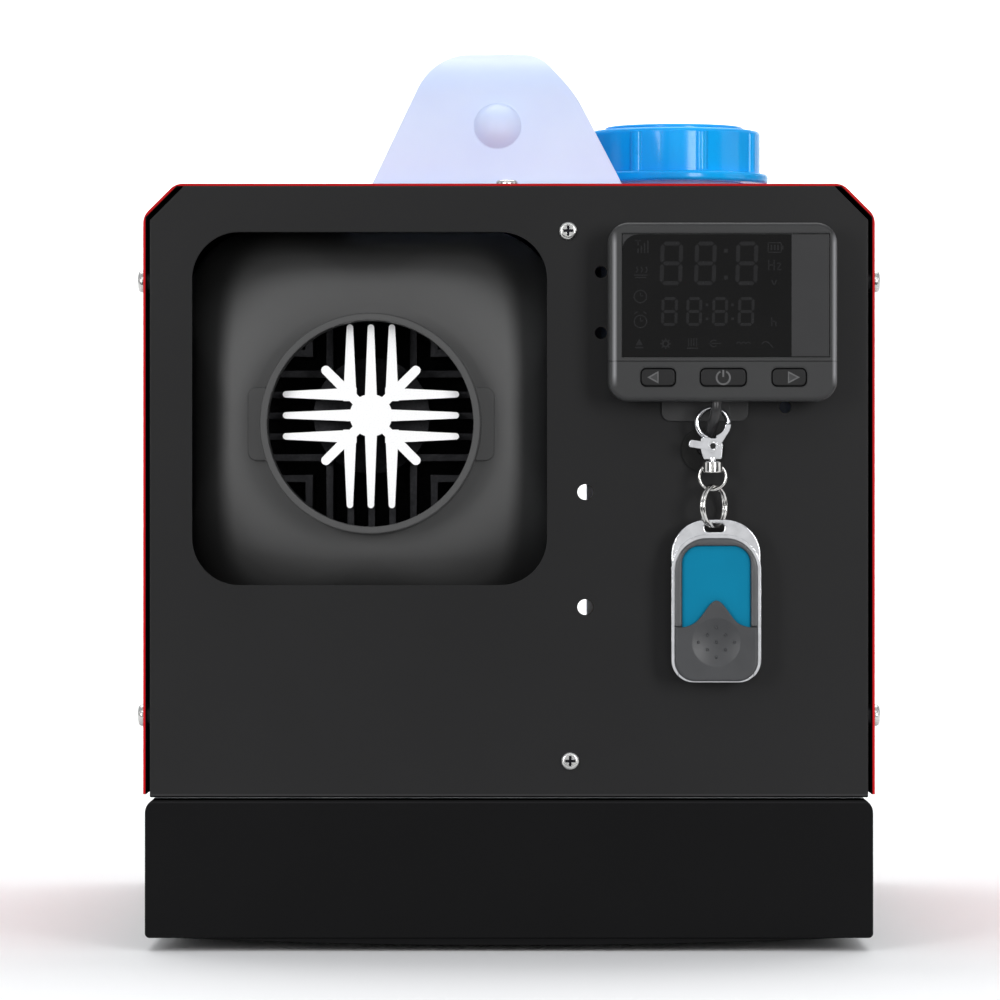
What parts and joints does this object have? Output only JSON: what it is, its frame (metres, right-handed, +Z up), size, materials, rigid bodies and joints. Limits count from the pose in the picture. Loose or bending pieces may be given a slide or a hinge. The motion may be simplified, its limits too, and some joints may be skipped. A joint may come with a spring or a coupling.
{
  "type": "diesel air heater",
  "caption": "Portable diesel air heater in a folded steel case with a built-in fuel tank, top handle, filler cap, display controller, air outlet and hanging remote.",
  "frame": {"origin": "centre of the footprint, on the surface that the feet stand on", "axes": "+Z up, -Y out of the front panel, +X to the right seen from the front"},
  "size_m": [0.253, 0.416, 0.3095],
  "materials": {
    "black_steel": "satin",
    "red_steel": "gloss",
    "zinc_sheet": "satin",
    "zinc_screws": "satin",
    "foot_rubber": "matt",
    "tank_hdpe": "satin",
    "blue_cap": "gloss",
    "fuel_brass": "satin",
    "hose_rubber": "matt",
    "filter_plastic": "gloss",
    "pump_steel": "satin",
    "heater_plastic": "satin",
    "cast_aluminium": "machined",
    "motor_steel": "satin",
    "gasket": "matt",
    "gland": "matt",
    "controller_abs": "satin",
    "controller_glass": "gloss",
    "circuit_board": "satin",
    "button_rubber": "matt",
    "chrome_plate": "polished",
    "remote_grey": "satin",
    "remote_blue": "gloss"
  },
  "bodies": {
    "root": {"base_tray": "black_steel", "bottom_plate": "black_steel", "foot_pads": "foot_rubber", "floor_plate": "zinc_sheet", "heater_bench": "zinc_sheet", "front_panel": "black_steel", "rear_panel": "black_steel", "top_cover": "red_steel", "heat_shield": "zinc_sheet", "cover_screws": "zinc_screws", "case_screws": "zinc_screws", "fuel_tank": "tank_hdpe", "tank_fitting": "fuel_brass", "fuel_filter": "filter_plastic", "pump_body": "pump_steel", "pump_mount": "foot_rubber", "fuel_hoses": "hose_rubber", "heater_fuel_line": "hose_rubber", "lower_casing": "heater_plastic", "upper_casing": "heater_plastic", "outlet_nozzle": "heater_plastic", "inlet_grille": "heater_plastic", "motor_body": "motor_steel", "combustion_housing": "cast_aluminium", "heat_exchanger": "cast_aluminium", "burner_tube": "motor_steel", "glow_plug": "fuel_brass", "base_gasket": "gasket", "mounting_nuts": "zinc_screws", "control_unit": "heater_plastic", "exhaust_pipe": "motor_steel", "intake_hose": "hose_rubber", "power_inlet": "gland", "controller_bracket": "black_steel", "controller_back": "controller_abs", "controller_bezel": "controller_abs", "controller_screen": "controller_glass", "controller_board": "circuit_board", "controller_cable": "hose_rubber", "cable_grommet": "foot_rubber"},
    "rotor": {"rotor_shaft": "motor_steel", "blower_wheel": "heater_plastic", "combustion_impeller": "cast_aluminium"},
    "pump_piston": {"pump_plunger": "pump_steel"},
    "cap_lift_body": {"cap_seal": "foot_rubber"},
    "cap": {"fuel_cap": "blue_cap"},
    "key_left": {"button_left": "button_rubber"},
    "key_power": {"button_power": "button_rubber"},
    "key_right": {"button_right": "button_rubber"},
    "clasp": {"clasp_hook": "chrome_plate"},
    "gate": {"clasp_gate": "chrome_plate"},
    "swivel": {"swivel_ring": "chrome_plate"},
    "ring": {"split_ring": "chrome_plate"},
    "remote": {"remote_frame": "chrome_plate", "remote_shell": "remote_grey", "remote_label": "remote_blue", "remote_board": "circuit_board"},
    "slider": {"remote_slider": "remote_grey"},
    "remote_key_left": {"remote_button_left": "button_rubber"},
    "remote_key_right": {"remote_button_right": "button_rubber"}
  },
  "joints": [
    {"name": "rotor_spin", "type": "hinge", "parent": "root", "child": "rotor", "pos_m": [-0.0473, 0.1, 0.181], "axis": [0, 1, 0], "continuous": true},
    {"name": "pump_stroke", "type": "slide", "parent": "root", "child": "pump_piston", "axis": [0, 1, 0], "range_m": [0, 0.003], "stiffness_N_per_m": 400, "springref_m": -0.001},
    {"name": "cap_lift", "type": "slide", "parent": "root", "child": "cap_lift_body", "axis": [0, 0, 1], "range_m": [0, 0.01]},
    {"name": "cap_turn", "type": "hinge", "parent": "cap_lift_body", "child": "cap", "pos_m": [0.0599, -0.06, 0.278], "axis": [0, 0, 1], "range_deg": [0, 720]},
    {"name": "button_left_press", "type": "slide", "parent": "root", "child": "key_left", "axis": [0, 1, 0], "range_m": [0, 0.0008], "stiffness_N_per_m": 300, "springref_m": -0.0005},
    {"name": "button_power_press", "type": "slide", "parent": "root", "child": "key_power", "axis": [0, 1, 0], "range_m": [0, 0.0008], "stiffness_N_per_m": 300, "springref_m": -0.0005},
    {"name": "button_right_press", "type": "slide", "parent": "root", "child": "key_right", "axis": [0, 1, 0], "range_m": [0, 0.0008], "stiffness_N_per_m": 300, "springref_m": -0.0005},
    {"name": "clasp_swing", "type": "hinge", "parent": "root", "child": "clasp", "pos_m": [0.0688, -0.1995, 0.1846], "axis": [-1, 0, 0], "range_deg": [0, 45]},
    {"name": "gate_open", "type": "hinge", "parent": "clasp", "child": "gate", "pos_m": [0.0688, -0.2013, 0.1719], "axis": [0, -1, 0], "range_deg": [0, 10], "stiffness_Nm_per_rad": 0.002, "springref_deg": -17.19},
    {"name": "swivel_turn", "type": "hinge", "parent": "clasp", "child": "swivel", "pos_m": [0.0688, -0.1995, 0.1646], "axis": [0, 0, 1], "range_deg": [-18, 18]},
    {"name": "ring_swing", "type": "hinge", "parent": "swivel", "child": "ring", "pos_m": [0.0688, -0.1995, 0.1569], "axis": [-1, 0, 0], "range_deg": [0, 25]},
    {"name": "remote_swing", "type": "hinge", "parent": "ring", "child": "remote", "pos_m": [0.0699, -0.1995, 0.14625], "axis": [-1, 0, 0], "range_deg": [0, 35]},
    {"name": "slider_open", "type": "slide", "parent": "remote", "child": "slider", "axis": [0, 0, -1], "range_m": [0, 0.015]},
    {"name": "remote_left_press", "type": "slide", "parent": "remote", "child": "remote_key_left", "axis": [0, 1, 0], "range_m": [0, 0.0006], "stiffness_N_per_m": 200, "springref_m": -0.0005},
    {"name": "remote_right_press", "type": "slide", "parent": "remote", "child": "remote_key_right", "axis": [0, 1, 0], "range_m": [0, 0.0006], "stiffness_N_per_m": 200, "springref_m": -0.0005}
  ],
  "couplings": [
    {"joint": "cap_turn", "follows": "cap_lift", "rad_per_m": 1256.6}
  ]
}
